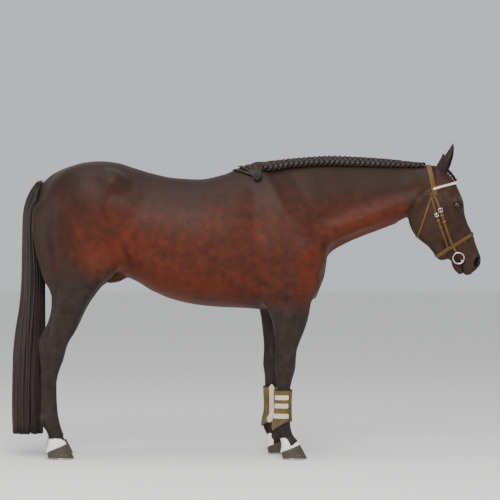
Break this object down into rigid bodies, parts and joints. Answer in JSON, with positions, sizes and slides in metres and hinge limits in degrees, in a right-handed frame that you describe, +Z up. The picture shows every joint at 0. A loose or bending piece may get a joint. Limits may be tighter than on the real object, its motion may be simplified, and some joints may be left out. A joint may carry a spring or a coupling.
{
  "type": "horse",
  "caption": "Life-size standing riding horse, dark bay, in side-on show stance, with a plaited mane, full tail, snaffle bridle, front boots and shod hooves.",
  "frame": {"origin": "on the floor, under the middle of the bounding box", "axes": "+X the way the horse faces, +Y its left side, +Z up"},
  "size_m": [2.644, 0.6206, 1.7669],
  "materials": {
    "coat": "short, sleek coat, red-brown on the belly and darker above",
    "dark_coat": "short, dark coat",
    "hair": "long, coarse, nearly black hair",
    "eye": "wet and dark brown",
    "hoof": "horn with fine upright lines",
    "shoe_steel": "worn steel",
    "chrome": "polished",
    "bridle_leather": "golden tan bridle leather",
    "beads": "pearl beads",
    "boot_leather": "tan leather",
    "cream": "cream webbing"
  },
  "bodies": {
    "root": {"trunk": "coat", "neck": "coat", "head": "coat", "eye_left": "eye", "eye_right": "eye", "ear_left": "coat", "ear_right": "coat", "foreleg_left": "dark_coat", "foreleg_right": "dark_coat", "hindleg_left": "dark_coat", "hindleg_right": "dark_coat", "hoof_fore_left": "hoof", "shoe_fore_left": "shoe_steel", "hoof_fore_right": "hoof", "shoe_fore_right": "shoe_steel", "hoof_hind_left": "hoof", "shoe_hind_left": "shoe_steel", "hoof_hind_right": "hoof", "shoe_hind_right": "shoe_steel", "tail": "hair", "mane_plait": "hair", "mane_knot": "hair", "forelock": "hair", "bridle_crownpiece": "bridle_leather", "bridle_throatlatch": "bridle_leather", "bridle_noseband": "bridle_leather", "bridle_cheekpiece_left": "bridle_leather", "bridle_cheekpiece_right": "bridle_leather", "bridle_browband": "beads", "bridle_cheek_buckle_left": "chrome", "bridle_nose_buckle_left": "chrome", "bit_ring_left": "chrome", "bridle_cheek_buckle_right": "chrome", "bridle_nose_buckle_right": "chrome", "bit_ring_right": "chrome", "boot_left": "boot_leather", "boot_strap_left_1": "cream", "boot_strap_left_2": "cream", "boot_strap_left_3": "cream", "boot_pad_left": "cream", "boot_right": "boot_leather", "boot_strap_right_1": "cream", "boot_strap_right_2": "cream", "boot_strap_right_3": "cream", "boot_pad_right": "cream"}
  },
  "joints": []
}
